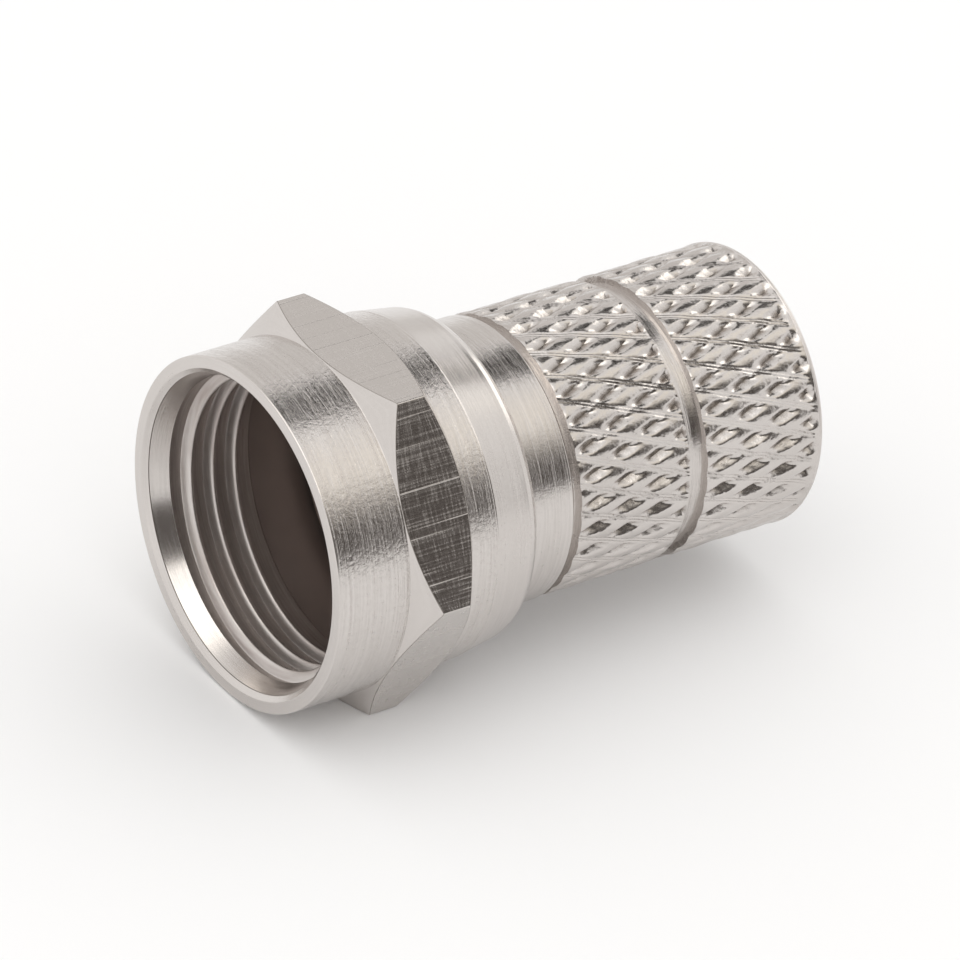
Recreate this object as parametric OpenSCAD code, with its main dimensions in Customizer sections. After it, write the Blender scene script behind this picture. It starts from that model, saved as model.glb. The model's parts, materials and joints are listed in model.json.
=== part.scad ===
// Twist-on F connector: a hexagon coupling nut that swivels on a knurled body.
// Both pieces are turned on one axis, which runs along X. The mouth of the nut is at x = 0 and
// the cable goes in at the other end. The connector lies on one flat of its hexagon, +Z up.

/* [Coupling nut] */
// Width of the hexagon across its flats
across_flats = 11; // [11:0.05:12]
// Diameter of the round collar in front of the hexagon
front_collar_d = 10.96; // [10.4:0.02:10.96]
// Length of the front collar, from the mouth to the start of the hexagon
front_collar_length = 2.5; // [2:0.1:4]
// Length of the hexagon at the middle of a flat
hex_length = 2.2; // [1.8:0.1:4]
// Slope of the cone that trims both ends of the hexagon, away from its end face
hex_chamfer_angle = 36; // [25:1:40]
// Diameter of the collar behind the hexagon
rear_collar_d = 10.78; // [10.4:0.02:10.9]
// Length of the straight part of the rear collar
rear_collar_length = 1; // [0.6:0.1:2]
// Length of the slightly conical shoulder behind the rear collar
shoulder_length = 1.15; // [0.8:0.05:1.6]
// Fall of the shoulder's radius along its length
shoulder_fall = 0.18; // [0.05:0.01:0.3]
// Radius that rounds the rear edge of the nut
rear_edge_r = 0.64; // [0.4:0.02:0.8]

/* [Inside the nut] */
// Diameter of the countersink at the mouth
mouth_d = 10.2; // [9.9:0.05:10.4]
// Diameter of the smooth lead-in, and of the relief behind the thread
relief_d = 9.7; // [9.6:0.02:9.84]
// Depth at which the thread starts
lead_in_depth = 1; // [0.8:0.05:1.4]
// Minor diameter of the thread, 3/8-32 UNEF
thread_minor_d = 8.76; // [8.66:0.02:8.86]
// Length of the thread
thread_length = 2.6; // [2:0.1:3]
// Depth of the inner face of the rear lip
lip_depth = 6.3; // [6.1:0.05:6.6]
// Radial running clearance between the lip and the neck of the body
lip_clearance = 0.05; // [0.03:0.01:0.08]
// End play of the nut on the body, at each side of the lip
end_play = 0.05; // [0.03:0.01:0.08]

/* [Body] */
// Diameter of the flange that holds the nut on
flange_d = 9.2; // [8.8:0.05:9.4]
// Thickness of the flange
flange_length = 0.9; // [0.6:0.05:1.2]
// Diameter of the neck that the nut turns on
neck_d = 7.8; // [7.2:0.05:8]
// Diameter of the plain ring behind the nut
ring_d = 8.86; // [8.6:0.02:9.2]
// Length of the plain ring
ring_length = 1.53; // [1:0.01:2]
// Length of the step between the ring and the knurl
step_length = 0.35; // [0.25:0.01:0.5]
// Width of the smooth groove that parts the two bands of knurl
groove_width = 0.66; // [0.4:0.01:1]
// Length of the plain rim at the cable end
rim_length = 0.36; // [0.3:0.01:0.6]

/* [Knurl] */
// Diameter over the flat tops of the diamonds
knurl_d = 8.84; // [8.7:0.02:9.1]
// Depth of the V grooves between the diamonds
knurl_depth = 0.2; // [0.16:0.01:0.22]
// Number of diamonds round the body
diamond_count = 31; // [24:1:36]
// Length of one diamond along the axis
diamond_length = 2.26; // [2:0.02:2.4]
// Half diamonds along each band
half_diamonds = 7; // [6:1:7]

/* [Bore for the cable] */
// Diameter of the front hole, which passes the inner insulation of the cable
insulation_bore_d = 4.9; // [4.5:0.05:5.2]
// Depth of the inner shoulder behind the front face of the flange
insulation_bore_length = 3.2; // [2.8:0.1:4]
// Diameter of the rear bore, which grips the jacket of the cable
jacket_bore_d = 6.4; // [6:0.05:6.8]
// Widening of the rear bore's mouth, on the radius
entry_chamfer = 0.35; // [0.2:0.05:0.5]

/* [Hidden] */

nickel = [0.78, 0.76, 0.73];
warm_nickel = [0.75, 0.72, 0.69];

// Depths along X from the mouth
hex_front = front_collar_length;
hex_rear = hex_front + hex_length;
collar_rear = hex_rear + rear_collar_length;
shoulder_rear = collar_rear + shoulder_length;
nut_length = shoulder_rear + rear_edge_r;
thread_end = lead_in_depth + thread_length;
flange_rear = lip_depth - end_play;
flange_front = flange_rear - flange_length;
ring_front = nut_length + end_play;
ring_rear = ring_front + ring_length;
knurl_front = ring_rear + step_length;
band_length = half_diamonds * diamond_length / 4;
groove_front = knurl_front + band_length;
groove_rear = groove_front + groove_width;
knurl_rear = groove_rear + band_length;
body_end = knurl_rear + rim_length;
bore_shoulder = flange_front + insulation_bore_length;

mouth_edge = 0.08;
flange_edge = 0.25;
rim_proud = 0.01;
rim_tuck = 0.05;
rim_edge_r = 0.15;
core_gap = 0.05;
core_r = knurl_d / 2 - knurl_depth - core_gap;
cone_rise = tan(hex_chamfer_angle);
overlap = 0.1;
past = 1;

$fn = 96;

// A flat outline in radius and depth, from a list of [depth, radius] points.
module outline(profile) {
    polygon([for (p = profile) [p[1], p[0]]]);
}

// A round corner of a flat outline, centred at a depth and a radius.
module corner_arc(depth, radius, r) {
    translate([radius, depth])
        circle(r = r);
}

// Turns a flat outline about the X axis.
module turned() {
    rotate([0, 90, 0])
        rotate_extrude()
            children();
}

// ---------------------------------------------------------------- coupling nut

// The hexagon, trimmed by a cone at both ends so that each flat ends in an arc.
module trimmed_hexagon() {
    corner = across_flats / sqrt(3);
    front_r = front_collar_d / 2;
    reach = (corner + overlap - front_r) * cone_rise;
    intersection() {
        translate([hex_front, 0, 0])
            rotate([30, 0, 0])
                rotate([0, 90, 0])
                    cylinder(h = hex_length, r = corner, $fn = 6);
        turned()
            outline([
                [hex_front, 0],
                [hex_front, front_r],
                [hex_front + reach, corner + overlap],
                [hex_rear - reach, corner + overlap],
                [hex_rear, front_r],
                [hex_rear, 0]
            ]);
    }
}

// The round outside of the nut: both collars, the shoulder and its rounded rear edge.
module nut_outside() {
    front_r = front_collar_d / 2;
    rear_r = rear_collar_d / 2;
    shoulder_r = rear_r - shoulder_fall;
    face_r = shoulder_r - rear_edge_r;
    turned() {
        outline([
            [0, 0],
            [0, front_r - mouth_edge],
            [mouth_edge, front_r],
            [hex_front + overlap, front_r],
            [hex_front + overlap, rear_r],
            [collar_rear, rear_r],
            [shoulder_rear, shoulder_r],
            [shoulder_rear, face_r],
            [nut_length, face_r],
            [nut_length, 0]
        ]);
        corner_arc(shoulder_rear, face_r, rear_edge_r);
    }
}

// The hollow of the nut: countersink, lead-in, thread at its minor diameter, relief and lip hole.
module nut_hollow() {
    relief_r = relief_d / 2;
    thread_r = thread_minor_d / 2;
    countersink = mouth_d / 2 - relief_r;
    lip_r = neck_d / 2 + lip_clearance;
    turned()
        outline([
            [-past, 0],
            [-past, mouth_d / 2],
            [0, mouth_d / 2],
            [countersink, relief_r],
            [lead_in_depth - (relief_r - thread_r), relief_r],
            [lead_in_depth, thread_r],
            [thread_end, thread_r],
            [thread_end, relief_r],
            [lip_depth, relief_r],
            [lip_depth, lip_r],
            [nut_length + past, lip_r],
            [nut_length + past, 0]
        ]);
}

module coupling_nut() {
    color(nickel)
        difference() {
            union() {
                nut_outside();
                trimmed_hexagon();
            }
            nut_hollow();
        }
}

// ---------------------------------------------------------------- body

// The knurl is a lattice of flat-topped diamonds between crossing V grooves. Its points lie on rings
// a quarter of a diamond apart. On an even ring the grooves cross and the diamonds are at their
// widest; on an odd ring the tops come to their points between two grooves.
even_spots = [0, 0.25, 0.75];
odd_spots = [0, 0.25, 0.5, 0.75];
function is_even(ring) = ring % 2 == 0;
function spots(ring) = is_even(ring) ? even_spots : odd_spots;
function is_low(ring, i) = is_even(ring) ? i == 0 : i % 2 == 1;
function ring_size(ring) = len(spots(ring)) * diamond_count;

// Points of one ring. Each even ring is turned half a diamond from the even ring before it.
function knurl_ring(ring, x) =
    [for (k = [0 : diamond_count - 1], i = [0 : len(spots(ring)) - 1])
        let (
            r = knurl_d / 2 - (is_low(ring, i) ? knurl_depth : 0),
            a = 360 / diamond_count * (k + spots(ring)[i] + floor(ring / 2) / 2)
        )
        [x, r * cos(a), r * sin(a)]];

// Faces between an even ring and the odd ring beside it. even and odd say where their points start.
// An odd ring in front of the even one leads by half a diamond, and its faces turn the other way.
function strip_faces(even, odd, odd_in_front) =
    let (lead = odd_in_front ? 2 : 0, evens = 3 * diamond_count, odds = 4 * diamond_count)
    [for (k = [0 : diamond_count - 1])
        let (
            e = [for (i = [0 : 3]) even + (3 * k + i) % evens],
            o = [for (i = [0 : 4]) odd + (4 * k + i + lead) % odds]
        )
        for (f = [
            [e[0], o[1], o[0]],
            [e[0], e[1], o[1]],
            [e[1], o[2], o[1]],
            [e[1], e[2], o[2]],
            [e[2], o[3], o[2]],
            [e[2], e[3], o[3]],
            [e[3], o[4], o[3]]
        ])
            odd_in_front ? f : [f[2], f[1], f[0]]];

// One band of the knurl, as a solid barrel. Each flat end is a fan of triangles round its centre.
module knurl_band(first_ring, from) {
    n = half_diamonds;
    rings = [for (i = [0 : n]) each knurl_ring(first_ring + i, from + i * diamond_length / 4)];
    centres = [[from, 0, 0], [from + band_length, 0, 0]];
    starts = [for (i = 0, at = 0; i <= n; at = at + ring_size(first_ring + i), i = i + 1) at];
    walls = [for (i = [0 : n - 1])
        each (is_even(first_ring + i)
            ? strip_faces(starts[i], starts[i + 1], false)
            : strip_faces(starts[i + 1], starts[i], true))];
    front = len(rings);
    rear = front + 1;
    last_size = ring_size(first_ring + n);
    front_cap = [for (i = [0 : starts[1] - 1]) [front, i, (i + 1) % starts[1]]];
    rear_cap = [for (i = [0 : last_size - 1])
        [rear, starts[n] + (i + 1) % last_size, starts[n] + i]];
    polyhedron(points = concat(rings, centres), faces = concat(walls, front_cap, rear_cap));
}

// The turned outside of the body: flange, neck, ring, the core under the knurl, and the rim.
module body_outside() {
    flange_r = flange_d / 2;
    neck_r = neck_d / 2;
    ring_r = ring_d / 2;
    rim_r = knurl_d / 2 + rim_proud;
    turned() {
        outline([
            [flange_front, 0],
            [flange_front, flange_r - flange_edge],
            [flange_front + flange_edge, flange_r],
            [flange_rear, flange_r],
            [flange_rear, neck_r],
            [ring_front, neck_r],
            [ring_front, ring_r],
            [ring_rear, ring_r],
            [ring_rear + step_length / 2, core_r],
            [knurl_rear - rim_tuck, core_r],
            [knurl_rear - rim_tuck, rim_r],
            [body_end - rim_edge_r, rim_r],
            [body_end - rim_edge_r, rim_r - rim_edge_r],
            [body_end, rim_r - rim_edge_r],
            [body_end, 0]
        ]);
        corner_arc(body_end - rim_edge_r, rim_r - rim_edge_r, rim_edge_r);
    }
}

// The hollow of the body: the insulation's hole, the inner shoulder and the bore for the jacket.
module body_hollow() {
    insulation_r = insulation_bore_d / 2;
    jacket_r = jacket_bore_d / 2;
    turned()
        outline([
            [flange_front - past, 0],
            [flange_front - past, insulation_r],
            [bore_shoulder, insulation_r],
            [bore_shoulder, jacket_r],
            [body_end - entry_chamfer, jacket_r],
            [body_end, jacket_r + entry_chamfer],
            [body_end + past, jacket_r + entry_chamfer],
            [body_end + past, 0]
        ]);
}

module body() {
    color(warm_nickel)
        difference() {
            union() {
                body_outside();
                knurl_band(0, knurl_front);
                knurl_band(half_diamonds + 1, groove_rear);
            }
            body_hollow();
        }
}

coupling_nut();
body();
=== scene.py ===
"""Finishes for a twist-on F connector: a swivelling hexagon nut on a knurled body."""

import json
import math

import bmesh
import bpy
import numpy as np
from mathutils import Matrix, Vector


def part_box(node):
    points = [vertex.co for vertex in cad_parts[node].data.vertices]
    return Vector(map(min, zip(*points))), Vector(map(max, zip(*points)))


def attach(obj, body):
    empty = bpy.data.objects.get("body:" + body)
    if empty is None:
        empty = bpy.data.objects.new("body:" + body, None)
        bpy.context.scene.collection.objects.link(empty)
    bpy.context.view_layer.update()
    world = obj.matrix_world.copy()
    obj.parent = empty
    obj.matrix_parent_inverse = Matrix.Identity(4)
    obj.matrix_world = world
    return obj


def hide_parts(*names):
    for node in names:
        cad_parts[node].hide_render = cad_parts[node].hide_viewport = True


bl_info = {
    "name": "Twist-on F connector",
    "version": (1, 0, 0),
    "blender": (4, 5, 0),
    "location": "3D View > Sidebar > Connector",
    "description": "Turned nut, knurled body and inside threads of a twist-on F connector",
    "category": "Object",
}

MM = 0.001
TURN = 2 * math.pi

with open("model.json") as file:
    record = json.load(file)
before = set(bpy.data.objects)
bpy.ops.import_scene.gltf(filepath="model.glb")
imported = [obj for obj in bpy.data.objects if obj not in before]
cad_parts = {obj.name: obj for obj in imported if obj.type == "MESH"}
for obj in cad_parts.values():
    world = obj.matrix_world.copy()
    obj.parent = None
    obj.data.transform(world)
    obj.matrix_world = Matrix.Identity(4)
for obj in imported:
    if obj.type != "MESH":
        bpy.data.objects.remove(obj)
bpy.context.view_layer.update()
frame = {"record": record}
NUT_LOW, NUT_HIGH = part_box("coupling_nut")
BODY_LOW, BODY_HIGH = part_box("body")
MOUNTS = {m["name"]: m for m in frame["record"]["mounts"]}


# ------------------------------------------------------------------ sizes and colours


def length(name, about, default, low=0.0, high=0.05):
    return bpy.props.FloatProperty(
        name=name, description=about, default=default, min=low, max=high, subtype="DISTANCE", unit="LENGTH"
    )


def fraction(name, about, default):
    return bpy.props.FloatProperty(
        name=name, description=about, default=default, min=0.0, max=0.5, subtype="FACTOR"
    )


def colour(name, about, default):
    return bpy.props.FloatVectorProperty(
        name=name, description=about, default=default, min=0.0, max=1.0, size=3, subtype="COLOR"
    )


class NutSizes(bpy.types.PropertyGroup):
    across_flats: length("Across flats", "Width of the hexagon", NUT_HIGH.z - NUT_LOW.z)
    collar_r: length("Front collar radius", "Radius of the round collar in front", 5.48 * MM)
    hex_front: length("Hexagon start", "Where the hexagon starts, from the mouth", 2.5 * MM)
    hex_rear: length("Hexagon end", "Where the hexagon ends, from the mouth", 4.7 * MM)
    rear_collar_r: length("Rear collar radius", "Radius of the collar behind the hexagon", 5.39 * MM)
    collar_end: length("Rear collar end", "Where the shoulder starts", 5.7 * MM)
    shoulder_r: length("Shoulder radius", "Radius at the end of the shoulder", 5.21 * MM)
    rear_round: length("Rear rounding", "Radius of the rounded rear edge", 0.64 * MM)
    mouth_r: length("Mouth radius", "Radius of the countersink at the mouth", 5.1 * MM)
    sink: length("Countersink depth", "Depth of the countersink at the mouth", 0.16 * MM)
    relief_r: length("Lead-in radius", "Radius of the lead-in and of the relief", 4.85 * MM)
    lead_r: length("Lead-in end radius", "Radius of the cone that leads to the thread", 4.7 * MM)
    lead_end: length("Lead-in end", "Where the cone that leads to the thread ends", 0.76 * MM)
    major_r: length("Thread root radius", "Radius at the bottom of the thread", 4.762 * MM)
    crest_r: length("Thread crest radius", "Radius at the rounded top of the thread", 4.44 * MM)
    pitch: length("Thread pitch", "32 turns to the inch", 25.4 / 32 * MM)
    lip_depth: length("Lip depth", "Inner face of the rear lip", 6.3 * MM)
    lip_r: length("Lip radius", "Radius of the hole in the rear lip", 3.95 * MM)
    edge: length("Broken edge", "Rounding of the turned and milled edges", 0.045 * MM)
    hex_corner: length("Hexagon corner", "Rounding of the hexagon's six corners", 0.07 * MM)


class BodySizes(bpy.types.PropertyGroup):
    flange_r: length("Flange radius", "Radius of the flange that holds the nut", 4.6 * MM)
    flange_rear: length("Flange rear", "Rear face of the flange", 6.25 * MM)
    neck_r: length("Neck radius", "Radius of the neck that the nut turns on", 3.9 * MM)
    ring_front: length("Ring front", "Front face of the plain ring", 7.54 * MM)
    ring_rear: length("Ring rear", "Rear edge of the plain ring", 9.07 * MM)
    ring_r: length("Ring radius", "Radius of the plain ring", 4.43 * MM)
    core_r: length("Core radius", "Radius under the knurl and in the groove", 4.17 * MM)
    rim_r: length("Rim radius", "Radius of the plain rim at the cable end", 4.43 * MM)
    rim_round: length("Rim rounding", "Rounding of the rim", 0.17 * MM)
    jacket_root_r: length("Jacket thread root", "Radius at the bottom of the jacket thread", 3.36 * MM)
    jacket_crest_r: length("Jacket thread crest", "Radius at the top of the jacket thread", 3.08 * MM)
    jacket_pitch: length("Jacket thread pitch", "Pitch of the coarse thread for the jacket", 1.3 * MM)
    entry_r: length("Entry radius", "Radius of the cable end's chamfer", 3.6 * MM)
    groove_dish: length("Groove dish", "How far the groove between the knurl bands is dished", 0.035 * MM)
    edge: length("Broken edge", "Rounding of the turned edges", 0.05 * MM)


class KnurlSizes(bpy.types.PropertyGroup):
    diamonds: bpy.props.IntProperty(
        name="Diamonds round", description="Diamonds round the body", default=31, min=12, max=60
    )
    diamond_length: length("Diamond length", "Length of one diamond along the axis", 2.26 * MM)
    quarter_diamonds: bpy.props.IntProperty(
        name="Quarter diamonds", description="Quarter diamonds along each band", default=7, min=3, max=12
    )
    first_band: length("First band", "Where the first band starts", 9.42 * MM)
    groove: length("Groove width", "Width of the groove between the bands", 0.66 * MM)
    crest_r: length("Crest radius", "Radius over the flat tops", 4.42 * MM)
    depth: length("Groove depth", "Depth of the rolled pits", 0.16 * MM)
    swell: length("Swell", "How far the tops of the diamonds bulge", 0.032 * MM)
    line_depth: length("Line depth", "Depth of the fine line along each groove", 0.022 * MM)
    strap_share: fraction("Strap share", "Half width of the strap between rows of pits, in diamonds", 0.14)
    long_share: fraction("Pit end share", "Length of a pit's sloping end, in diamonds", 0.19)
    cross_share: fraction("Pit side share", "Width of a pit's sloping side, in diamonds", 0.29)


class NickelColours(bpy.types.PropertyGroup):
    bright: colour("Bright nickel", "Clean plated metal", (0.66, 0.625, 0.6))
    worn: colour("Handled nickel", "Plated metal with a warm film", (0.56, 0.525, 0.5))
    # Painted shade: a darker, browner colour that stands in for the shade deep inside the nut. It covers the
    # bored inside, the relief, the lip and the flange within it.
    inner: colour("Inner nickel", "Unpolished metal deep in the nut", (0.42, 0.36, 0.335))
    # Painted shade: a darker colour for the knurl's pits and fine lines, the thin lines along burred edges,
    # and the body's bore.
    deep: colour("Groove nickel", "Metal in the bottoms of the grooves", (0.34, 0.31, 0.285))


class StageLook(bpy.types.PropertyGroup):
    floor: colour("Floor", "Colour of the floor", (0.93, 0.93, 0.93))
    room: colour("Room", "Colour of the soft light all round", (1.0, 0.99, 0.98))
    strength: bpy.props.FloatProperty(
        name="Room light", description="Strength of the soft light all round", default=1.03, min=0.0, max=5.0
    )


# ------------------------------------------------------------------ node trees in plain sums


ROW_NUDGE = 1e-5


class Wire:
    """A number on its way through a node tree. Sums and products of wires add Math nodes."""

    def __init__(self, nodes, socket):
        self.nodes = nodes
        self.socket = socket

    def math(self, operation, *terms):
        return self.nodes.add("ShaderNodeMath", {"operation": operation}, dict(enumerate(terms)))

    def __add__(self, other):
        return self.math("ADD", self, other)

    def __radd__(self, other):
        return self.math("ADD", other, self)

    def __sub__(self, other):
        return self.math("SUBTRACT", self, other)

    def __rsub__(self, other):
        return self.math("SUBTRACT", other, self)

    def __mul__(self, other):
        return self.math("MULTIPLY", self, other)

    def __rmul__(self, other):
        return self.math("MULTIPLY", other, self)

    def __truediv__(self, other):
        return self.math("DIVIDE", self, other)

    def __rtruediv__(self, other):
        return self.math("DIVIDE", other, self)

    def __mod__(self, other):
        return self.math("FLOORED_MODULO", self, other)

    def __rmod__(self, other):
        return self.math("FLOORED_MODULO", other, self)

    def __abs__(self):
        return self.math("ABSOLUTE", self)

    def floor(self):
        return self.math("FLOOR", self)

    def at_least(self, other):
        return self.math("MAXIMUM", self, other)

    def at_most(self, other):
        return self.math("MINIMUM", self, other)

    def within(self):
        """The number, held between 0 and 1."""
        return self.at_least(0.0).at_most(1.0)

    def above(self, other):
        """1 where the number is above another, and 0 elsewhere."""
        return self.math("GREATER_THAN", self, other)

    def to_nearest_whole(self):
        """Distance to the nearest whole number, from 0 to a half."""
        return self.math("PINGPONG", self, 0.5)

    def eased(self):
        """A smooth step of a number that runs from 0 to 1."""
        held = self.within()
        return held * held * (3.0 - 2.0 * held)

    def squared(self):
        return self * self

    def sine(self):
        return self.math("SINE", self)

    def cosine(self):
        return self.math("COSINE", self)


class Nodes:
    """One node tree, and the one way that nodes are added to it."""

    def __init__(self, tree):
        self.tree = tree

    def add(self, kind, settings=None, inputs=None, output=0):
        node = self.tree.nodes.new(kind)
        for name, value in (settings or {}).items():
            setattr(node, name, value)
        for key, value in (inputs or {}).items():
            socket = node.inputs[key]
            if isinstance(value, Wire):
                self.tree.links.new(value.socket, socket)
            else:
                socket.default_value = value
        return Wire(self, node.outputs[output]) if node.outputs else None

    def point(self, x, y, z):
        return self.add("ShaderNodeCombineXYZ", None, {0: x, 1: y, 2: z})

    def parts(self, vector):
        split = self.add("ShaderNodeSeparateXYZ", None, {0: vector})
        outputs = split.socket.node.outputs
        return [Wire(self, outputs[i]) for i in range(3)]

    def noise(self, vector, scale, detail=2.0, rough=0.5):
        settings = {"noise_dimensions": "3D"}
        inputs = {"Vector": vector, "Scale": scale, "Detail": detail, "Roughness": rough}
        return self.add("ShaderNodeTexNoise", settings, inputs, "Fac")

    def grain(self, place, along_scale, around_scale, layer, detail, rough):
        """Noise that is drawn out along or round a piece, with its scales in waves to the metre.

        place is the piece's UV map, in parts. layer keeps one noise apart from the next.
        """
        along, around, _ = place
        stretched = self.point(along * along_scale, around * around_scale, layer)
        return self.noise(stretched, 1.0, detail, rough)

    def grid(self, rows, columns):
        """A grid of points, and the row and the column of each of them."""
        inputs = {"Size X": 1.0, "Size Y": 1.0, "Vertices X": rows, "Vertices Y": columns}
        grid = self.add("GeometryNodeMeshGrid", None, inputs)
        index = self.add("GeometryNodeInputIndex")
        row = (index / columns + ROW_NUDGE).floor()
        return grid, row, index - row * columns

    def keep(self, geometry, name, value, kind):
        """Stores a value on the points of a mesh for its finish to read."""
        settings = {"data_type": kind, "domain": "POINT"}
        inputs = {"Geometry": geometry, "Name": name, "Value": value}
        return self.add("GeometryNodeStoreNamedAttribute", settings, inputs)

    def blend(self, part, first, second):
        """Colour between two colours."""
        settings = {"data_type": "RGBA"}
        return self.add("ShaderNodeMix", settings, {0: part, 6: first, 7: second}, 2)


# ------------------------------------------------------------------ nickel finishes


def solid(shade):
    return (*shade, 1.0)


def empty_material(name):
    """A new material and its nodes, with none in place yet."""
    material = bpy.data.materials.new(name)
    material.use_nodes = True
    material.node_tree.nodes.clear()
    return material, Nodes(material.node_tree)


def new_nickel(name, build):
    """A plated metal. build returns its colour, roughness and height, and how deep the height goes."""
    material, nodes = empty_material(name)
    shade, rough, height, depth = build(nodes)
    bump = nodes.add("ShaderNodeBump", None, {"Strength": 1.0, "Distance": depth, "Height": height})
    inputs = {"Base Color": shade, "Metallic": 1.0, "Roughness": rough, "Normal": bump}
    shader = nodes.add("ShaderNodeBsdfPrincipled", None, inputs)
    nodes.add("ShaderNodeOutputMaterial", None, {0: shader})
    return material


def turned_finish(name, light, dark, grain_depth, smooth, streaks, speckle):
    """Metal off the lathe: fine rings of grain that run round the piece and fade in and out."""

    def build(nodes):
        place = nodes.parts(nodes.add("ShaderNodeAttribute", {"attribute_name": "Grain"}, None, "Vector"))
        rings = nodes.grain(place, 11000.0, 210.0, 0.0, 4.0, 0.62)
        hairs = nodes.grain(place, 26000.0, 900.0, 3.0, 2.0, 0.5)
        waves = nodes.grain(place, 2600.0, 90.0, 4.0, 2.0, 0.5)
        spots = nodes.grain(place, 7000.0, 7000.0, 9.0, 3.0, 0.6)
        cloud = nodes.noise(nodes.add("ShaderNodeTexCoord", None, None, "Object"), 210.0, 3.0, 0.55)
        tone = (rings - 0.5) * (2.2 * streaks) + (hairs - 0.5) * streaks
        tone = tone + (spots - 0.5) * (0.8 * speckle)
        film = (0.35 + tone + (cloud - 0.5) * 0.9).within()
        shade = nodes.blend(film, solid(light), solid(dark))
        rough = smooth + (rings - 0.5) * (0.35 * streaks) + (cloud - 0.5) * 0.14
        rough = rough + (spots - 0.5) * (0.2 * speckle)
        height = rings + hairs * 0.55 + waves * 1.2 + spots * speckle
        return shade, rough.at_least(0.05), height, grain_depth

    return new_nickel(name, build)


def milled_finish(name, colours):
    """The hexagon's flats: cutter lines along the axis, crossed by finer ones, with a few scratches."""

    def build(nodes):
        place = nodes.parts(nodes.add("ShaderNodeAttribute", {"attribute_name": "Grain"}, None, "Vector"))
        cutter = nodes.grain(place, 200.0, 17000.0, 2.0, 3.0, 0.6)
        cross = nodes.grain(place, 17000.0, 1300.0, 5.0, 3.0, 0.6)
        deep = nodes.grain(place, 90.0, 13000.0, 7.0, 1.0, 0.5)
        patch = nodes.grain(place, 900.0, 900.0, 11.0, 2.0, 0.5)
        scratch = ((deep - 0.66) * 14.0).within()
        fine = ((cutter - 0.47) * 6.0).within()
        weft = ((cross - 0.47) * 6.0).within()
        worn = (fine * 0.3 + weft * 0.28) * (0.5 + patch) + scratch * 0.6
        shade = nodes.blend((0.6 - worn * 0.6).within(), solid(colours.bright), solid(colours.worn))
        rough = (0.15 + worn * 0.36).at_most(0.6)
        height = cutter * 0.5 + cross * 0.5 + scratch * 0.4
        return shade, rough, height, 9.0e-6

    return new_nickel(name, build)


def dull_finish(name, shade, rough):
    """Darker, duller nickel that paints shade: in the hollows deep inside, and as thin shadow lines along
    burred edges.
    """

    def build(nodes):
        place = nodes.add("ShaderNodeTexCoord", None, None, "Object")
        cloud = nodes.noise(place, 900.0, 3.0, 0.55)
        tone = nodes.blend(cloud, solid([0.8 * part for part in shade]), solid(shade))
        return tone, rough + (cloud - 0.5) * 0.2, cloud, 4.0e-6

    return new_nickel(name, build)


def knurled_finish(name, colours):
    """Rolled diamonds: bright, slightly hammered tops, with painted shade (a darker colour) in the bottoms
    of the grooves and along their fine lines.
    """

    def build(nodes):
        place = nodes.add("ShaderNodeTexCoord", None, None, "Object")
        cut = nodes.add("ShaderNodeAttribute", {"attribute_name": "cut"}, None, "Fac")
        hammered = nodes.noise(place, 2200.0, 3.0, 0.55)
        grit = nodes.noise(place, 8000.0, 3.0, 0.6)
        film = nodes.noise(place, 240.0, 2.0, 0.5)
        top = nodes.blend((film * 1.4 - 0.2).within(), solid(colours.bright), solid(colours.worn))
        # Painted shade: the pits and fine lines blend towards the darker groove colour.
        shade = nodes.blend((cut * 1.3 - 0.5 + (grit - 0.5) * 0.5).within(), top, solid(colours.deep))
        rough = 0.22 + cut * 0.06 + (grit - 0.5) * 0.2
        height = hammered + grit * 0.12
        return shade, rough.at_least(0.05), height, 3.0e-5

    return new_nickel(name, build)


# ------------------------------------------------------------------ turned shells


ARC_STEPS = 4
# A rounding takes at most this share of the edges beside it. A row of points just past each of its ends
# keeps the faces beside it flat.
MOST_REACH = 0.36
GUARD_REACH = 1.25
GRAIN_RADIUS = 5.0 * MM


def rounded_rows(corners, rounds):
    """Rows of points along a closed outline whose corners are rounded.

    corners has the shape (corner, depth or radius, column) and rounds holds one radius a corner.
    Returns the rows and, for each row, the corner that it belongs to.
    """
    rows = []
    owners = []
    count = len(corners)
    for k in range(count):
        here = corners[k]
        back = corners[k - 1] - here
        ahead = corners[(k + 1) % count] - here
        back_length = np.linalg.norm(back, axis=0)
        ahead_length = np.linalg.norm(ahead, axis=0)
        back = back / np.maximum(back_length, 1e-12)
        ahead = ahead / np.maximum(ahead_length, 1e-12)
        cosine = np.clip((back * ahead).sum(axis=0), -0.999999, 0.999999)
        wanted = rounds[k] / np.tan(np.arccos(cosine) / 2)
        reach = np.minimum(wanted, MOST_REACH * np.minimum(back_length, ahead_length))
        start = here + back * reach
        end = here + ahead * reach
        rows.append(here + back * reach * GUARD_REACH)
        for step in range(ARC_STEPS + 1):
            s = step / ARC_STEPS
            rows.append((1 - s) ** 2 * start + 2 * s * (1 - s) * here + s**2 * end)
        rows.append(here + ahead * reach * GUARD_REACH)
        owners += [k] * (ARC_STEPS + 3)
    return np.array(rows), owners


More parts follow.
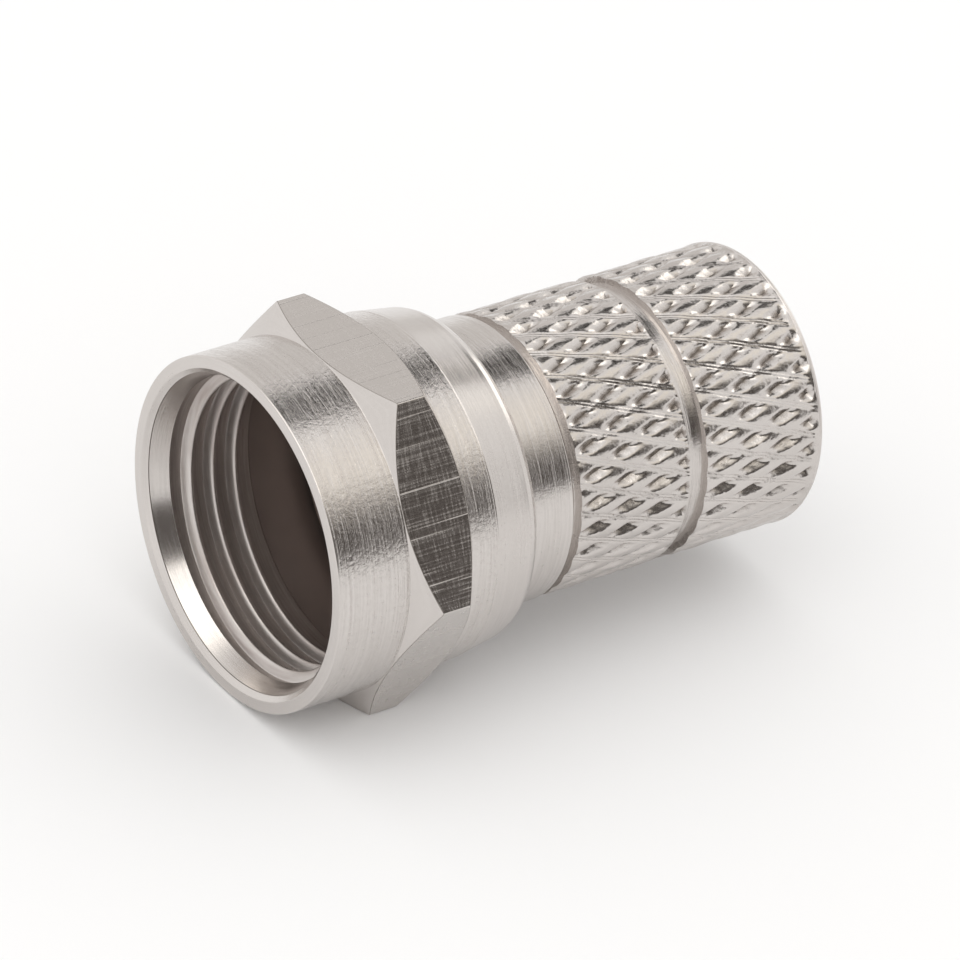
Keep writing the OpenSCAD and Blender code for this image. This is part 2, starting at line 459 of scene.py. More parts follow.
def shell_object(name, rows, owners, angles, finishes, picks):
    """A closed ring-shaped mesh from rows of (depth, radius) at each angle, with a UV along and round it.

    picks holds, for each corner, the finish of its rounding and the finish of the face after it.
    """
    row_count, _, column_count = rows.shape
    depth = rows[:, 0, :]
    radius = rows[:, 1, :]
    points = np.stack([depth, radius * np.cos(angles), radius * np.sin(angles)], axis=-1)
    verts = points.reshape(-1, 3)
    middle = rows.mean(axis=2)
    steps = np.linalg.norm(np.diff(middle, axis=0, append=middle[:1]), axis=1)
    along = np.concatenate([[0.0], np.cumsum(steps)])
    around = np.append(angles, angles[0] + TURN) * GRAIN_RADIUS
    faces = []
    uvs = []
    slots = []
    for i in range(row_count):
        n = (i + 1) % row_count
        slot = picks[owners[i]][0 if owners[i] == owners[n] else 1]
        for j in range(column_count):
            m = (j + 1) % column_count
            here = i * column_count
            ahead = n * column_count
            faces.append((here + j, here + m, ahead + m, ahead + j))
            uvs += [(along[i], around[j]), (along[i], around[j + 1])]
            uvs += [(along[i + 1], around[j + 1]), (along[i + 1], around[j])]
            slots.append(slot)
    mesh = bpy.data.meshes.new(name)
    mesh.from_pydata(verts.tolist(), [], faces)
    layer = mesh.uv_layers.new(name="Grain")
    layer.data.foreach_set("uv", np.array(uvs, np.float32).ravel())
    for finish in finishes:
        mesh.materials.append(finish)
    mesh.polygons.foreach_set("material_index", slots)
    thing = bpy.data.objects.new(name, mesh)
    bpy.context.scene.collection.objects.link(thing)
    face_outwards(mesh)
    mesh.shade_smooth()
    return thing


def face_outwards(mesh):
    """Turns a closed mesh the right way out by the sign of its volume."""
    work = bmesh.new()
    work.from_mesh(mesh)
    if work.calc_volume(signed=True) < 0:
        bmesh.ops.reverse_faces(work, faces=work.faces)
    work.to_mesh(mesh)
    work.free()


def even_angles(count):
    return np.arange(count) * TURN / count


def rounded_end(depth, radius, rounding):
    """Points along a rounded outside edge, from its radius in to its end face."""
    turns = [math.radians(a) for a in range(0, 91, 15)]
    return [(depth - rounding * (1 - math.sin(a)), radius - rounding * (1 - math.cos(a))) for a in turns]


def turned_object(name, profile, columns, finishes):
    """A turned shell from a closed list of (depth, radius, rounding, finish)."""
    angles = even_angles(columns)
    corners = np.array([[[x] * columns, [r] * columns] for x, r, _, _ in profile])
    rows, owners = rounded_rows(corners, [corner[2] for corner in profile])
    return shell_object(name, rows, owners, angles, finishes, [(corner[3], corner[3]) for corner in profile])


# ------------------------------------------------------------------ the coupling nut


# Finishes of the nut. The deep and the burred-edge finishes are painted shade: darker colours in the hollows
# inside, and thin shadow lines along burred edges.
TURNED, MILLED, SMOOTH, BORED, DEEP_SHADE, BURR_SHADE = range(6)
CORNER_SLOPE = math.tan(math.radians(36))
HALF_FLAT = math.radians(30)
FLAT_STEPS = 22
# Where the points beside a corner of the hexagon lie, in shares of the angle that its rounding takes.
CORNER_STEPS = (2.2, 1.0, 0.66, 0.33, 0.0)
BURR_WIDTH = 0.02 * MM
CURVE_EASE = 0.05 * MM
SCRIBE = 0.03 * MM
SCRIBE_DEPTH = 0.007 * MM


def hexagon_angles(corner_turn):
    """Angles round a hexagon, close together at its six corners. The first flat faces 30 degrees."""
    near = [HALF_FLAT - corner_turn * step for step in CORNER_STEPS]
    side = [HALF_FLAT * k / FLAT_STEPS for k in range(FLAT_STEPS)]
    side = [a for a in side if a < near[0] - corner_turn] + near
    sector = [-a for a in reversed(side[1:-1])] + side
    turns = [2 * HALF_FLAT * k + HALF_FLAT for k in range(6)]
    return np.array([turn + a for turn in turns for a in sector])


def hexagon_radii(angles, flat_distance, corner_round):
    """Distance from the axis to the hexagon's outside, and half the turn that a rounded corner takes."""
    from_flat = angles % (2 * HALF_FLAT) - HALF_FLAT
    radii = flat_distance / np.cos(from_flat)
    centre = (flat_distance - corner_round) / math.cos(HALF_FLAT)
    from_corner = HALF_FLAT - np.abs(from_flat)
    turn = math.atan(corner_round * math.sin(HALF_FLAT) / (centre + corner_round * math.cos(HALF_FLAT)))
    inside = np.maximum(corner_round**2 - (centre * np.sin(from_corner)) ** 2, 0)
    arc = centre * np.cos(from_corner) + np.sqrt(inside)
    return np.where(from_corner < turn, arc, radii), turn


def nut_corners(size, thread, radii):
    """The nut's outline at each angle, the rounding and finishes of its corners, and the thread's span."""
    ones = np.ones_like(radii)
    rise = np.maximum(radii - size.collar_r, 0) * CORNER_SLOPE
    thread_length = thread["dims"]["length_mm"] * MM
    thread_start = thread["pos_m"][0] - thread_length / 2
    thread_end = thread_start + thread_length
    lead = size.relief_r - size.major_r
    edge = size.edge
    hexagon = np.maximum(radii, size.collar_r)
    curve = rounded_end(NUT_HIGH.x, size.shoulder_r, size.rear_round)
    outline = [
        (0, size.mouth_r, edge * 0.3, SMOOTH, SMOOTH),
        (0, size.collar_r, edge * 1.3, SMOOTH, TURNED),
        (size.hex_front, size.collar_r, edge * 0.6, TURNED, SMOOTH),
        # These two corners, and the two at the mouth below, take the burred-edge finish: a thin painted
        # shadow line.
        (size.hex_front + rise, hexagon, edge * 0.5, BURR_SHADE, MILLED),
        (size.hex_rear - rise, hexagon, edge * 0.5, BURR_SHADE, SMOOTH),
        (size.hex_rear, size.collar_r, edge * 0.6, SMOOTH, SMOOTH),
        (size.hex_rear, size.rear_collar_r, edge * 0.4, TURNED, TURNED),
        (size.collar_end - SCRIBE, size.rear_collar_r, edge * 0.3, TURNED, TURNED),
        (size.collar_end, size.rear_collar_r - SCRIBE_DEPTH, edge * 0.2, TURNED, SMOOTH),
        (size.collar_end + SCRIBE, size.rear_collar_r, edge * 0.3, SMOOTH, SMOOTH),
    ]
    outline += [(x, r, CURVE_EASE, SMOOTH, SMOOTH) for x, r in curve]
    outline += [
        # From the rear hole in to the relief, the nut takes the deep finish: painted shade inside it.
        (NUT_HIGH.x, size.lip_r, edge, SMOOTH, DEEP_SHADE),
        (size.lip_depth, size.lip_r, edge * 0.5, DEEP_SHADE, DEEP_SHADE),
        (size.lip_depth, size.relief_r, edge, DEEP_SHADE, DEEP_SHADE),
        (thread_end + lead, size.relief_r, edge * 0.5, DEEP_SHADE, DEEP_SHADE),
        (thread_end, size.major_r, edge * 0.5, BORED, BORED),
        (size.lead_end + BURR_WIDTH, size.major_r, edge * 0.5, BORED, BORED),
        (size.lead_end, size.lead_r, edge * 0.3, BORED, SMOOTH),
        (size.sink + BURR_WIDTH, size.mouth_r - size.sink, edge * 0.5, BURR_SHADE, BURR_SHADE),
        (size.sink, size.mouth_r - size.sink, edge * 0.5, BURR_SHADE, SMOOTH),
    ]
    corners = np.array([[x * ones, r * ones] for x, r, _, _, _ in outline])
    rounds = [corner[2] for corner in outline]
    finishes = [corner[3:] for corner in outline]
    return corners, rounds, finishes, (thread_start, thread_end)


def new_tree(name, sockets):
    """An empty Geometry Nodes tree with named inputs. Returns its nodes and its input wires."""
    tree = bpy.data.node_groups.new(name, "GeometryNodeTree")
    for label, kind in sockets:
        tree.interface.new_socket(label, in_out="INPUT", socket_type="NodeSocket" + kind)
    tree.interface.new_socket("Geometry", in_out="OUTPUT", socket_type="NodeSocketGeometry")
    nodes = Nodes(tree)
    outputs = nodes.add("NodeGroupInput").socket.node.outputs
    return nodes, {socket.name: Wire(nodes, socket) for socket in outputs if socket.name}


HELIX_ROWS = 14
RIDGE_FOOT = 0.05 * MM
# A ridge grows over half a turn and runs out over a third of a turn.
STARTS_PER_TURN = 2.0
ENDS_PER_TURN = 3.0
SEAM = 1e-7


def helix_tree():
    """A tree that winds one closed ridge along a helix inside a bore."""
    sockets = [
        ("Start", "Float"),
        ("Turns", "Float"),
        ("Pitch", "Float"),
        ("Base radius", "Float"),
        ("Crest radius", "Float"),
        ("Base width", "Float"),
        ("Crest share", "Float"),
        ("Steps", "Int"),
        ("Finish", "Material"),
    ]
    nodes, given = new_tree("Inside thread", sockets)
    grid, row, column = nodes.grid(HELIX_ROWS, given["Steps"] + 1.0)
    turn = column / given["Steps"] * given["Turns"]
    grown = (turn * STARTS_PER_TURN).eased() * ((given["Turns"] - turn) * ENDS_PER_TURN).eased()
    across = (row % (HELIX_ROWS - 1.0)) / (HELIX_ROWS - 2.0) * 2.0 - 1.0
    flank = (1.0 - abs(across)) / (1.0 - given["Crest share"])
    height = (given["Base radius"] - given["Crest radius"]) * flank.eased() * grown
    radius = given["Base radius"] - height
    depth = given["Start"] + turn * given["Pitch"] + across * given["Base width"] * 0.5 * grown
    angle = turn * TURN
    place = nodes.point(depth, radius * angle.cosine(), radius * angle.sine())
    grained = nodes.keep(grid, "Grain", nodes.point(depth, angle * GRAIN_RADIUS, 0.0), "FLOAT_VECTOR")
    wound = nodes.add("GeometryNodeSetPosition", None, {"Geometry": grained, "Position": place})
    closed = nodes.add("GeometryNodeMergeByDistance", None, {"Geometry": wound, "Distance": SEAM})
    finish_tree(nodes, closed, given["Finish"])
    return nodes.tree


def finish_tree(nodes, geometry, finish):
    """Ends a tree: smooth faces, real geometry and its finish."""
    smooth = nodes.add("GeometryNodeSetShadeSmooth", None, {"Geometry": geometry})
    real = nodes.add("GeometryNodeRealizeInstances", None, {"Geometry": smooth})
    coated = nodes.add("GeometryNodeSetMaterial", None, {"Geometry": real, "Material": finish})
    nodes.add("NodeGroupOutput", None, {"Geometry": coated})


def from_tree(name, tree, values):
    """Runs a tree with named inputs and returns the result as a plain mesh object."""
    seed = bpy.data.objects.new(name + "_seed", bpy.data.meshes.new(name + "_seed"))
    bpy.context.scene.collection.objects.link(seed)
    modifier = seed.modifiers.new("Build", "NODES")
    modifier.node_group = tree
    for item in tree.interface.items_tree:
        if item.in_out == "INPUT" and item.name in values:
            modifier[item.identifier] = values[item.name]
    bpy.context.view_layer.update()
    graph = bpy.context.evaluated_depsgraph_get()
    mesh = bpy.data.meshes.new_from_object(seed.evaluated_get(graph), depsgraph=graph)
    seed.modifiers.clear()
    bpy.data.objects.remove(seed)
    mesh.name = name
    thing = bpy.data.objects.new(name, mesh)
    bpy.context.scene.collection.objects.link(thing)
    face_outwards(mesh)
    return thing


def settle(thing, body, node):
    """Hands a finished piece to its body, in place of the CAD node that it dresses."""
    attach(thing, body)
    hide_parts(node)


# Turned finishes: depth of the grain, roughness, strength of the streaks and of the speckle.
TURNED_LOOK = (1.1e-5, 0.22, 1.0, 1.1)
SMOOTH_LOOK = (2.0e-6, 0.24, 0.35, 0.4)
BORED_LOOK = (6.0e-6, 0.38, 0.7, 0.1)
BODY_LOOK = (9.0e-6, 0.21, 1.0, 0.6)
BORE_LOOK = (6.0e-6, 0.3, 0.7, 0.1)
RIM_LOOK = (9.0e-6, 0.42, 1.0, 0.6)
# The port thread starts this much before the span that its mount gives, and is this much longer.
EARLY_TURNS = 0.5
EXTRA_TURNS = 0.35


class CONNECTOR_OT_nut(bpy.types.Operator):
    """Make the coupling nut with its hexagon, collars and inside thread"""

    bl_idname = "connector.nut"
    bl_label = "Coupling nut"

    def execute(self, context):
        size = context.scene.connector_nut
        colours = context.scene.connector_nickel
        turned = turned_finish("Turned nickel", colours.bright, colours.worn, *TURNED_LOOK)
        milled = milled_finish("Milled nickel", colours)
        smooth = turned_finish("Smooth nickel", colours.bright, colours.worn, *SMOOTH_LOOK)
        # Painted shade, in part: the bored inside and its thread blend the clean colour with the darker
        # inner colour.
        inside = turned_finish("Bored nickel", colours.bright, colours.inner, *BORED_LOOK)
        # Painted shade: the deep finish is a darker, duller colour for the hollows inside the nut.
        deep = dull_finish("Deep nickel", colours.inner, 0.5)
        # Painted shadow: the burred-edge finish is a darker colour for thin shadow lines along the edges.
        burr_shade = dull_finish("Burr nickel", colours.deep, 0.35)
        flat_distance = size.across_flats / 2
        _, turn = hexagon_radii(np.zeros(1), flat_distance, size.hex_corner)
        angles = hexagon_angles(turn)
        radii, _ = hexagon_radii(angles, flat_distance, size.hex_corner)
        corners, rounds, picks, threaded = nut_corners(size, MOUNTS["port_thread"], radii)
        rows, owners = rounded_rows(corners, rounds)
        finishes = [turned, milled, smooth, inside, deep, burr_shade]
        shell = shell_object("nut_shell", rows, owners, angles, finishes, picks)
        settle(shell, "nut", "coupling_nut")
        values = {
            "Start": threaded[0] - EARLY_TURNS * size.pitch,
            "Turns": (threaded[1] - threaded[0]) / size.pitch + EXTRA_TURNS,
            "Pitch": size.pitch,
            "Base radius": size.major_r + RIDGE_FOOT,
            "Crest radius": size.crest_r,
            "Base width": 0.5 * MM,
            "Crest share": 0.1,
            "Steps": 760,
            "Finish": inside,
        }
        thread = from_tree("nut_thread", helix_tree(), values)
        settle(thread, "nut", "coupling_nut")
        return {"FINISHED"}


# ------------------------------------------------------------------ the body


# Finishes of the body. The inside and flange finishes are painted shade: darker colours for the bore and for
# the flange's faces inside the nut.
OUTSIDE, INSIDE, FLANGE_SHADE, RIM = range(4)
BODY_COLUMNS = 256
HIDDEN_CORNERS = 3
FLANGE_CHAMFER = 0.25 * MM
RING_STEP = 0.175 * MM
DISH_ROUND = 0.6 * MM
RIM_GAP = 0.1 * MM
RIM_DROP = 0.03 * MM
FINE_ROUND = 0.01 * MM
RIM_EASE = 0.02 * MM
ENTRY_CHAMFER = 0.3 * MM
THREAD_FRONT_GAP = 0.5 * MM
THREAD_REAR_GAP = 0.35 * MM


class CONNECTOR_OT_body(bpy.types.Operator):
    """Make the turned body with its flange, ring, rim and the coarse thread for the jacket"""

    bl_idname = "connector.body"
    bl_label = "Body"

    def execute(self, context):
        size = context.scene.connector_body
        knurl = context.scene.connector_knurl
        colours = context.scene.connector_nickel
        turned = turned_finish("Body nickel", colours.bright, colours.worn, *BODY_LOOK)
        # Painted shade: the bore inside the body and the flange's faces inside the nut take darker colours.
        inside = turned_finish("Bore nickel", colours.worn, colours.deep, *BORE_LOOK)
        flange = dull_finish("Flange nickel", colours.inner, 0.5)
        rim = turned_finish("Rim nickel", colours.bright, colours.worn, *RIM_LOOK)
        front = BODY_LOW.x
        rear = BODY_HIGH.x
        hole = MOUNTS["insulation_bore"]
        hole_r = hole["dims"]["r_mm"] * MM
        shoulder = hole["pos_m"][0] + hole["dims"]["length_mm"] * MM / 2
        band = knurl.quarter_diamonds * knurl.diamond_length / 4
        groove_front = knurl.first_band + band
        groove_rear = groove_front + knurl.groove
        rim_front = groove_rear + band + RIM_GAP
        edge = size.edge
        outside = [
            (front, hole_r, edge),
            (front, size.flange_r - FLANGE_CHAMFER, edge),
            (front + FLANGE_CHAMFER, size.flange_r, edge),
            (size.flange_rear, size.flange_r, edge),
            (size.flange_rear, size.neck_r, edge),
            (size.ring_front, size.neck_r, edge),
            (size.ring_front, size.ring_r, edge),
            (size.ring_rear, size.ring_r, edge),
            (size.ring_rear + RING_STEP, size.core_r, edge),
            (groove_front - edge, size.core_r, edge),
            (groove_front + knurl.groove / 2, size.core_r - size.groove_dish, DISH_ROUND),
            (groove_rear + edge, size.core_r, edge),
            (rim_front, size.core_r, FINE_ROUND),
            (rim_front + edge, size.rim_r - RIM_DROP, FINE_ROUND),
        ]
        rim_edge = rounded_end(rear, size.rim_r, size.rim_round)
        bore = [
            (rear, size.entry_r, edge),
            (rear - ENTRY_CHAMFER, size.jacket_root_r, edge),
            (shoulder, size.jacket_root_r, edge),
            (shoulder, hole_r, edge),
        ]
        # The flange's faces inside the nut take the flange finish, which is painted shade.
        profile = [(*corner, FLANGE_SHADE) for corner in outside[:HIDDEN_CORNERS]]
        profile += [(*corner, OUTSIDE) for corner in outside[HIDDEN_CORNERS:]]
        profile += [(*corner, RIM_EASE, RIM) for corner in rim_edge]
        profile += [(*corner, INSIDE) for corner in bore]
        shell = turned_object("body_shell", profile, BODY_COLUMNS, [turned, inside, flange, rim])
        settle(shell, "body", "body")
        start = shoulder + THREAD_FRONT_GAP
        end = rear - THREAD_REAR_GAP
        values = {
            "Start": start,
            "Turns": (end - start) / size.jacket_pitch,
            "Pitch": size.jacket_pitch,
            "Base radius": size.jacket_root_r + RIDGE_FOOT,
            "Crest radius": size.jacket_crest_r,
            "Base width": 0.8 * MM,
            "Crest share": 0.14,
            "Steps": 900,
            "Finish": inside,
        }
        thread = from_tree("jacket_thread", helix_tree(), values)
        settle(thread, "body", "body")
        return {"FINISHED"}


# ------------------------------------------------------------------ the knurl


CELL_STEPS = 16
EXTRA_ROWS = 4
LINE_SHARE = 1 / CELL_STEPS
BAND_BEVEL = 0.03 * MM
# The rear band goes on a little past its last diamonds and fades out there.
TAIL = 0.22 * MM
TAIL_FADE = 0.3 * MM
SLEEVE_WALL = 0.2 * MM
CREASE = math.radians(24)


def knurl_tree():
    """A tree that rolls flat-topped diamonds between two crossing families of V grooves.

    Its points lie on the lines of both families, so that every edge of a diamond is an edge of the mesh.
    The sleeve is closed: its rows run over the outside and come back along a wall inside the body.
    """
    sockets = [
        ("Start", "Float"),
        ("Diamonds", "Int"),
        ("Diamond length", "Float"),
        ("Rows", "Int"),
        ("Crest radius", "Float"),
        ("Inner radius", "Float"),
        ("Depth", "Float"),
        ("Strap share", "Float"),
        ("Long share", "Float"),
        ("Cross share", "Float"),
        ("Line depth", "Float"),
        ("Swell", "Float"),
        ("Front bevel", "Float"),
        ("Rear bevel", "Float"),
        ("Rear fade", "Float"),
        ("Unevenness", "Float"),
        ("Finish", "Material"),
    ]
    nodes, given = new_tree("Knurl", sockets)
    steps = float(CELL_STEPS)
    rows = given["Rows"]
    grid, raw_row, column = nodes.grid(rows + float(EXTRA_ROWS), given["Diamonds"] * steps + 1.0)
    last = rows + (EXTRA_ROWS - 1.0)
    row = (raw_row - 1.0).at_least(0.0).at_most(rows)
    row = row * (1.0 - raw_row.above(last - 0.5))
    is_wall = (0.5 - raw_row).above(0.0) + raw_row.above(rows + 1.5)
    odd = row % 2.0
    turn = (column + odd * 0.5) / steps
    half_row = row / (2.0 * steps)
    long_way = turn - half_row
    cross_way = turn + half_row
    drift = nodes.noise(nodes.point(long_way, cross_way, 0.0), 0.7, 1.0, 0.5) - 0.5
    from_long = long_way.to_nearest_whole()
    from_cross = cross_way.to_nearest_whole()
    cross_cut = 1.0 - (from_cross / given["Cross share"]).within()
    between = ((from_long - given["Strap share"]) / given["Long share"]).within()
    swell = (long_way * math.pi).cosine().squared() + (cross_way * math.pi).cosine().squared()
    long_line = (1.0 - abs(from_long / LINE_SHARE - 1.0)).within()
    cross_line = (1.0 - from_cross / LINE_SHARE).within()
    depth_here = given["Depth"] * (1.0 + drift * given["Unevenness"])
    dent = cross_cut * between
    lines = long_line + cross_line * 0.3
    step = given["Diamond length"] / (2.0 * steps)
    from_front = row * step
    from_rear = (rows - row) * step
    fade = (from_rear / given["Rear fade"]).eased()
    sunk = (depth_here * dent + lines * given["Line depth"] + swell * given["Swell"]) * fade
    bevel = ((given["Front bevel"] - from_front).at_least(0.0)).at_least(given["Rear bevel"] - from_rear)
    surface = (given["Crest radius"] - sunk).at_most(given["Crest radius"] - bevel)
    radius = surface * (1.0 - is_wall) + given["Inner radius"] * is_wall
    angle = turn * TURN / given["Diamonds"]
    depth = given["Start"] + row * step
    place = nodes.point(depth, radius * angle.cosine(), radius * angle.sine())
    # Stores the pits and fine lines, into which the finish paints shade.
    marked = nodes.keep(grid, "cut", (dent + lines * 0.5) * fade, "FLOAT")
    rolled = nodes.add("GeometryNodeSetPosition", None, {"Geometry": marked, "Position": place})
    closed = nodes.add("GeometryNodeMergeByDistance", None, {"Geometry": rolled, "Distance": SEAM})
    split = nodes.add("GeometryNodeTriangulate", {"quad_method": "SHORTEST_DIAGONAL"}, {"Mesh": closed})
    finish_tree(nodes, split, given["Finish"])
    return nodes.tree


class CONNECTOR_OT_knurl(bpy.types.Operator):
    """Roll both bands of diamond knurl onto the body"""

    bl_idname = "connector.knurl"
    bl_label = "Knurl"

    def execute(self, context):
        size = context.scene.connector_knurl
        core = context.scene.connector_body.core_r
        finish = knurled_finish("Knurled nickel", context.scene.connector_nickel)
        band = size.quarter_diamonds * size.diamond_length / 4
        tree = knurl_tree()
        rows = size.quarter_diamonds * CELL_STEPS // 2
        tail_rows = round(TAIL / (size.diamond_length / (2 * CELL_STEPS)))
        rear_start = size.first_band + band + size.groove
        bands = [
            ("knurl_front", size.first_band, rows, BAND_BEVEL, BAND_BEVEL),
            ("knurl_rear", rear_start, rows + tail_rows, 0.0, TAIL_FADE),
        ]
        for name, start, count, rear_bevel, rear_fade in bands:
            values = {
                "Start": start,
                "Diamonds": size.diamonds,
                "Diamond length": size.diamond_length,
                "Rows": count,
                "Crest radius": size.crest_r,
                "Inner radius": core - SLEEVE_WALL,
                "Depth": size.depth,
                "Strap share": size.strap_share,
                "Long share": size.long_share,
                "Cross share": size.cross_share,
                "Line depth": size.line_depth,
                "Swell": size.swell,
                "Front bevel": BAND_BEVEL,
                "Rear bevel": rear_bevel,
                "Rear fade": rear_fade,
                "Unevenness": 0.5,
                "Finish": finish,
            }
            sleeve = from_tree(name, tree, values)
            sleeve.data.set_sharp_from_angle(angle=CREASE)
            settle(sleeve, "body", "body")
        return {"FINISHED"}


# ------------------------------------------------------------------ the stage


CAMERA_AZIMUTH = math.radians(-37.573)
CAMERA_ELEVATION = math.radians(32.731)
CAMERA_ROLL = math.radians(5.463)
CAMERA_DISTANCE = 0.2721
CAMERA_LENS = 339.9
AIM = Vector((0.01, 0.0, 0.0))
AIM_RIGHT = 0.997 * MM
AIM_UP = 0.888 * MM
SENSOR_WIDTH = 36.0
CLIP_START = 0.01
CLIP_END = 10.0
FLOOR_HALF = 2.0
FLOOR_GAP = 0.01 * MM
KEY_PLACE = Vector((-0.12, -0.12, 0.45))
KEY_SIZE = 0.35
KEY_POWER = 0.2

BOARD_CENTRE = Vector((0.009, 0.0, 0.0))
BOARD_DISTANCE = 0.3
BOARD_ACROSS = 16
BOARD_UPWARD = 8
NIGHT = (0.03, 0.026, 0.024)
DARK = (0.085, 0.074, 0.068)
WALL = (0.82, 0.8, 0.78)
CREAM = (1.14, 1.09, 1.0)
LAMP = (2.3, 2.25, 2.15)
# Name, headings and elevations in degrees, light along the lower edge and along the upper edge.
BOARDS = [
    ("board_low", (-120.0, -48.0), (1.0, 22.0), DARK, DARK),
    ("board_side", (-120.0, -84.0), (22.0, 43.0), DARK, DARK),
    ("board_rise", (-84.0, -44.0), (22.0, 45.0), DARK, CREAM),
    ("board_mid", (-84.0, -10.0), (45.0, 57.0), CREAM, CREAM),
    ("board_left", (-118.0, -84.0), (43.0, 60.0), LAMP, LAMP),
    ("board_high", (6.0, 46.0), (41.0, 67.0), NIGHT, NIGHT),
    ("board_far", (46.0, 80.0), (4.0, 50.0), WALL, WALL),
    ("board_back", (-8.0, 26.0), (16.0, 38.0), LAMP, LAMP),
    ("board_key", (-240.0, -118.0), (57.0, 82.0), LAMP, LAMP),
]


def camera_axes():
    """The camera's right, its up and the way back from the connector to it, with its roll."""
    a = CAMERA_AZIMUTH
    e = CAMERA_ELEVATION
    back = Vector((math.sin(a) * math.cos(e), -math.cos(a) * math.cos(e), math.sin(e)))
    right = Vector((math.cos(a), math.sin(a), 0.0))
    up = back.cross(right)
    turned_right = math.cos(CAMERA_ROLL) * right + math.sin(CAMERA_ROLL) * up
    turned_up = -math.sin(CAMERA_ROLL) * right + math.cos(CAMERA_ROLL) * up
    return turned_right, turned_up, back


def make_camera(scene):
    right, up, back = camera_axes()
    data = bpy.data.cameras.new("Camera")
    data.lens = CAMERA_LENS
    data.sensor_width = SENSOR_WIDTH
    data.clip_start = CLIP_START
    data.clip_end = CLIP_END
    camera = bpy.data.objects.new("Camera", data)
    scene.collection.objects.link(camera)
    place = AIM - right * AIM_RIGHT - up * AIM_UP + back * CAMERA_DISTANCE
    camera.matrix_world = Matrix(
        (
            (right.x, up.x, back.x, place.x),
            (right.y, up.y, back.y, place.y),
            (right.z, up.z, back.z, place.z),
            (0.0, 0.0, 0.0, 1.0),
        )
    )
    scene.camera = camera


def floor_surface(name, shade):
    """A plain and dull surface."""
    material, nodes = empty_material(name)
    inputs = {"Base Color": solid(shade), "Roughness": 0.9, "Specular IOR Level": 0.1}
    shader = nodes.add("ShaderNodeBsdfPrincipled", None, inputs)
    nodes.add("ShaderNodeOutputMaterial", None, {0: shader})
    return material


def board_surface(name, low_shade, high_shade):
    """A reflector whose light changes from its lower edge to its upper edge."""
    material, nodes = empty_material(name)
    lift = nodes.add("ShaderNodeAttribute", {"attribute_name": "lift"}, None, "Fac")
    light = nodes.blend(lift, solid(low_shade), solid(high_shade))
    inputs = {"Base Color": solid((0.0, 0.0, 0.0)), "Roughness": 1.0, "Specular IOR Level": 0.0}
    inputs.update({"Emission Color": light, "Emission Strength": 1.0})
    shader = nodes.add("ShaderNodeBsdfPrincipled", None, inputs)
    nodes.add("ShaderNodeOutputMaterial", None, {0: shader})
    return material


def make_board(scene, name, headings, heights, low_shade, high_shade):
    """A board on part of a sphere round the connector, between two headings and two elevations."""
    verts = []
    lifts = []
    for i in range(BOARD_UPWARD + 1):
        lift = i / BOARD_UPWARD
        e = math.radians(heights[0] + (heights[1] - heights[0]) * lift)
        for j in range(BOARD_ACROSS + 1):
            a = math.radians(headings[0] + (headings[1] - headings[0]) * j / BOARD_ACROSS)
            way = Vector((math.cos(a) * math.cos(e), math.sin(a) * math.cos(e), math.sin(e)))
            verts.append(BOARD_CENTRE + way * BOARD_DISTANCE)
            lifts.append(lift)
    row = BOARD_ACROSS + 1
    corners = [i * row + j for i in range(BOARD_UPWARD) for j in range(BOARD_ACROSS)]
    faces = [(k, k + 1, k + row + 1, k + row) for k in corners]
    mesh = bpy.data.meshes.new(name)
    mesh.from_pydata([tuple(v) for v in verts], [], faces)
    mesh.attributes.new("lift", "FLOAT", "POINT").data.foreach_set("value", lifts)
    mesh.materials.append(board_surface(name, low_shade, high_shade))
    board = bpy.data.objects.new(name, mesh)
    scene.collection.objects.link(board)
    board.visible_camera = False
    board.visible_shadow = False
    board.visible_diffuse = False


def make_floor(scene, shade):
    level = NUT_LOW.z - FLOOR_GAP
    half = FLOOR_HALF
    corners = [(-half, -half, level), (half, -half, level), (half, half, level), (-half, half, level)]
    mesh = bpy.data.meshes.new("floor")
    mesh.from_pydata(corners, [], [(0, 1, 2, 3)])
    mesh.materials.append(floor_surface("Floor", shade))
    floor = bpy.data.objects.new("floor", mesh)
    scene.collection.objects.link(floor)


def make_room(scene, shade, strength):
    """Soft light from all round."""
    world = bpy.data.worlds.new("Soft room")
    world.use_nodes = True
    world.node_tree.nodes.clear()
    nodes = Nodes(world.node_tree)
    glow = nodes.add("ShaderNodeBackground", None, {"Color": solid(shade), "Strength": strength})
    nodes.add("ShaderNodeOutputWorld", None, {0: glow})
    scene.world = world


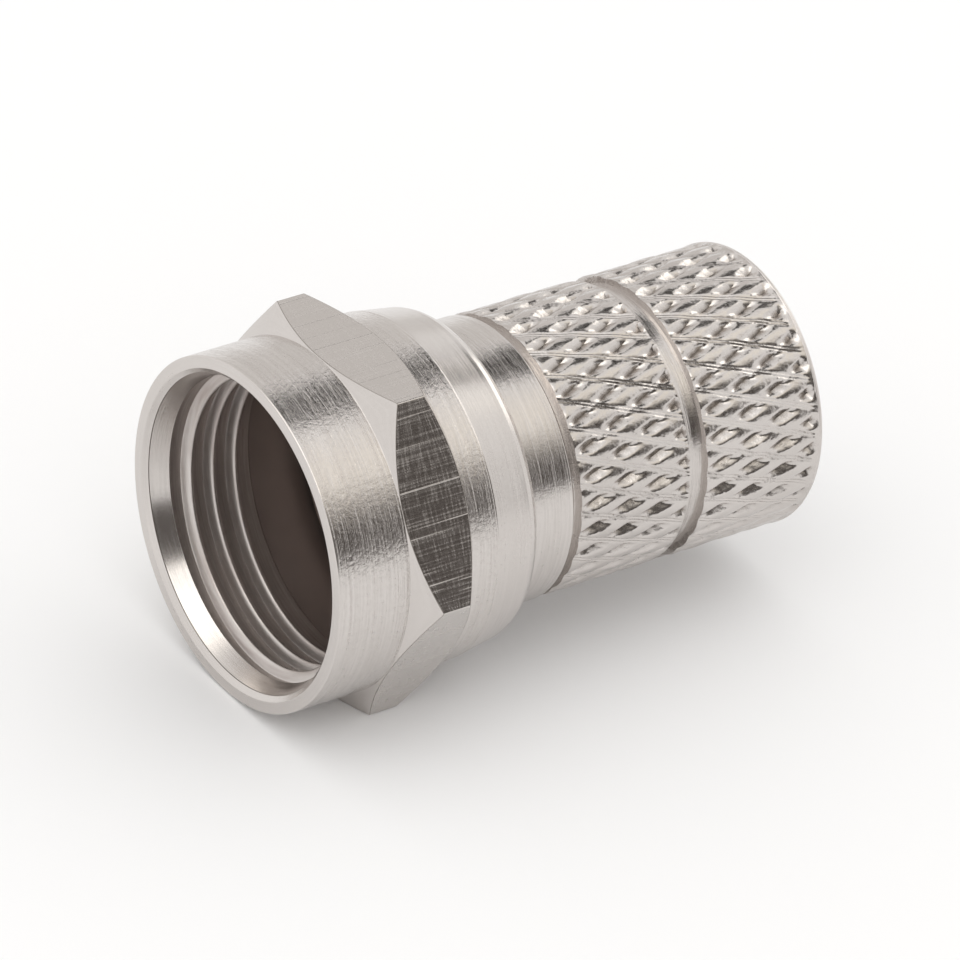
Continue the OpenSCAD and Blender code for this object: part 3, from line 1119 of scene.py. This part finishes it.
def make_key(scene):
    data = bpy.data.lights.new("key", "AREA")
    data.size = KEY_SIZE
    data.energy = KEY_POWER
    key = bpy.data.objects.new("key", data)
    scene.collection.objects.link(key)
    key.location = KEY_PLACE
    key.rotation_euler = (AIM - KEY_PLACE).to_track_quat("-Z", "Y").to_euler()


class CONNECTOR_OT_stage(bpy.types.Operator):
    """Set the floor, the soft light round it and the camera"""

    bl_idname = "connector.stage"
    bl_label = "Stage"

    def execute(self, context):
        scene = context.scene
        look = scene.connector_stage
        make_floor(scene, look.floor)
        make_room(scene, look.room, look.strength)
        for board in BOARDS:
            make_board(scene, *board)
        make_key(scene)
        make_camera(scene)
        scene.view_settings.view_transform = "Standard"
        return {"FINISHED"}


class CONNECTOR_PT_sidebar(bpy.types.Panel):
    """Sizes, colours and steps of the connector"""

    bl_idname = "CONNECTOR_PT_sidebar"
    bl_label = "F connector"
    bl_space_type = "VIEW_3D"
    bl_region_type = "UI"
    bl_category = "Connector"

    def draw(self, context):
        for operator in OPERATORS:
            self.layout.operator(operator.bl_idname)
        for name in SETTINGS:
            group = getattr(context.scene, name)
            box = self.layout.box()
            for key in group.bl_rna.properties.keys():
                if key not in ("rna_type", "name"):
                    box.prop(group, key)


SETTINGS = {
    "connector_nut": NutSizes,
    "connector_body": BodySizes,
    "connector_knurl": KnurlSizes,
    "connector_nickel": NickelColours,
    "connector_stage": StageLook,
}
OPERATORS = [CONNECTOR_OT_nut, CONNECTOR_OT_body, CONNECTOR_OT_knurl, CONNECTOR_OT_stage]
CLASSES = [*SETTINGS.values(), *OPERATORS, CONNECTOR_PT_sidebar]


def register():
    for item in CLASSES:
        bpy.utils.register_class(item)
    for name, group in SETTINGS.items():
        setattr(bpy.types.Scene, name, bpy.props.PointerProperty(type=group))


def unregister():
    for name in SETTINGS:
        delattr(bpy.types.Scene, name)
    for item in reversed(CLASSES):
        bpy.utils.unregister_class(item)


def main():
    register()
    bpy.ops.connector.nut()
    bpy.ops.connector.body()
    bpy.ops.connector.knurl()
    bpy.ops.connector.stage()


if __name__ == "__main__":
    main()
